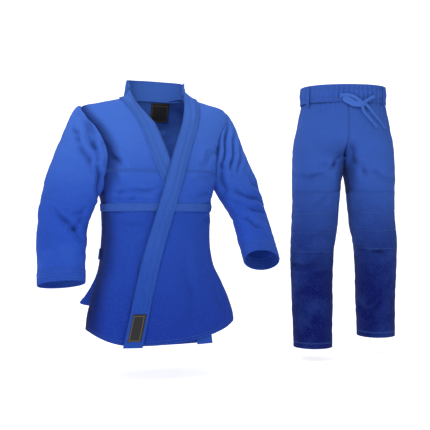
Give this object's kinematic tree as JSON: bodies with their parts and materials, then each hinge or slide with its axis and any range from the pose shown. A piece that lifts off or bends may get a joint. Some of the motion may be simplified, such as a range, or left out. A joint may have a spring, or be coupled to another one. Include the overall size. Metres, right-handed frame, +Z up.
{
  "type": "martial arts uniform",
  "caption": "Wrap jacket with lapels, sleeves and a split skirt, and drawstring trousers with knee patches, in the shapes they have when worn.",
  "frame": {"origin": "centre of the jacket's neck opening, at the height of the collar's sewn edge", "axes": "+Z up, +X towards the wearer's left from the jacket to the trousers beside it, -Y towards the viewer; the jacket is turned 22 degrees about Z"},
  "size_m": [1.2229, 0.7224, 0.9271],
  "materials": {
    "jacket": "rice-grain weave, matte",
    "skirt": "fine diamond weave, matte",
    "lapel": "quilted twill, matte",
    "tape": "stitched twill, matte",
    "trousers": "cotton drill, matte",
    "label": "woven satin, black with a gold border",
    "cord": "flat woven tape"
  },
  "bodies": {
    "garment_body": {"front_yoke_left": "jacket", "front_yoke_right": "jacket", "front_body_left": "jacket", "front_body_right": "jacket", "front_skirt_left": "skirt", "front_skirt_right": "skirt", "front_fold_left": "skirt", "front_fold_right": "skirt", "back_yoke": "jacket", "back_body": "jacket", "back_skirt": "skirt", "back_fold": "skirt", "waist_tape_left": "tape", "waist_tape_right": "tape", "waist_tape_back": "tape", "vent_patch_left": "tape", "vent_patch_right": "tape", "lapel_left": "lapel", "lapel_right": "lapel", "collar_back": "lapel", "neck_label": "label", "seat_left": "trousers", "seat_right": "trousers", "crotch_gusset": "trousers", "waistband_lining": "trousers", "drawstring_run": "cord", "waistband_shell": "trousers", "belt_loop_left": "trousers", "belt_loop_right": "trousers", "drawstring_knot": "cord", "drawstring_lead_left": "cord", "drawstring_lead_right": "cord", "drawstring_loop": "cord", "drawstring_tail_left": "cord", "drawstring_tail_right": "cord", "hip_fold_left": "trousers", "hip_fold_right": "trousers"},
    "sleeve_left": {"sleeve_upper_left": "jacket", "sleeve_elbow_left": "jacket"},
    "forearm_left": {"sleeve_lower_left": "jacket", "cuff_left": "tape"},
    "thigh_left": {"thigh_left": "trousers", "knee_fold_left": "trousers", "knee_patch_left": "trousers"},
    "shin_left": {"shin_left": "trousers"},
    "sleeve_right": {"sleeve_upper_right": "jacket", "sleeve_elbow_right": "jacket"},
    "forearm_right": {"sleeve_lower_right": "jacket", "cuff_right": "tape"},
    "thigh_right": {"thigh_right": "trousers", "knee_fold_right": "trousers", "knee_patch_right": "trousers"},
    "shin_right": {"shin_right": "trousers"},
    "front_flaps_over": {"front_flap_left": "skirt", "lapel_tail_left": "lapel", "hem_label": "label"},
    "front_flaps_under": {"front_flap_right": "skirt", "lapel_tail_right": "lapel"},
    "rear_flap": {"back_flap": "skirt"}
  },
  "joints": [
    {"name": "sleeve_swing_left", "type": "hinge", "parent": "garment_body", "child": "sleeve_left", "pos_m": [0.2225, 0.0899, -0.041], "axis": [-0.7431, -0.6691, 0], "range_deg": [0, 45]},
    {"name": "elbow_bend_left", "type": "hinge", "parent": "sleeve_left", "child": "forearm_left", "pos_m": [0.3122, 0.0851, -0.3707], "axis": [-0.9272, -0.3746, 0], "range_deg": [0, 35], "deforming": ["sleeve_elbow_left"]},
    {"name": "sleeve_swing_right", "type": "hinge", "parent": "garment_body", "child": "sleeve_right", "pos_m": [-0.2225, -0.0899, -0.041], "axis": [-0.9994, -0.0349, 0], "range_deg": [0, 60]},
    {"name": "elbow_bend_right", "type": "hinge", "parent": "sleeve_right", "child": "forearm_right", "pos_m": [-0.2864, -0.1335, -0.4091], "axis": [-0.9272, -0.3746, 0], "range_deg": [0, 45], "deforming": ["sleeve_elbow_right"]},
    {"name": "hip_swing_left", "type": "hinge", "parent": "garment_body", "child": "thigh_left", "pos_m": [0.7794, 0.3468, -0.225], "axis": [-1, 0, 0], "range_deg": [-15, 30], "deforming": ["hip_fold_left"]},
    {"name": "knee_bend_left", "type": "hinge", "parent": "thigh_left", "child": "shin_left", "pos_m": [0.7902, 0.3764, -0.401], "axis": [1, 0, 0], "range_deg": [0, 60], "deforming": ["knee_fold_left", "knee_patch_left"]},
    {"name": "hip_swing_right", "type": "hinge", "parent": "garment_body", "child": "thigh_right", "pos_m": [0.5507, 0.2827, -0.225], "axis": [-1, 0, 0], "range_deg": [-15, 30], "deforming": ["hip_fold_right"]},
    {"name": "knee_bend_right", "type": "hinge", "parent": "thigh_right", "child": "shin_right", "pos_m": [0.5456, 0.2865, -0.408], "axis": [1, 0, 0], "range_deg": [0, 60], "deforming": ["knee_fold_right", "knee_patch_right"]},
    {"name": "front_flap_lift", "type": "hinge", "parent": "garment_body", "child": "front_flaps_over", "pos_m": [0.0411, -0.1017, -0.542], "axis": [-0.9272, -0.3746, 0], "range_deg": [0, 25], "deforming": ["front_fold_left"]},
    {"name": "under_flap_lift", "type": "hinge", "parent": "garment_body", "child": "front_flaps_under", "pos_m": [0.0411, -0.1017, -0.542], "axis": [-0.9272, -0.3746, 0], "range_deg": [0, 25], "deforming": ["front_fold_right"]},
    {"name": "back_flap_lift", "type": "hinge", "parent": "garment_body", "child": "rear_flap", "pos_m": [-0.0382, 0.0944, -0.542], "axis": [0.9272, 0.3746, 0], "range_deg": [0, 25], "deforming": ["back_fold"]}
  ],
  "couplings": [
    {"joint": "under_flap_lift", "follows": "front_flap_lift", "ratio": 1}
  ]
}
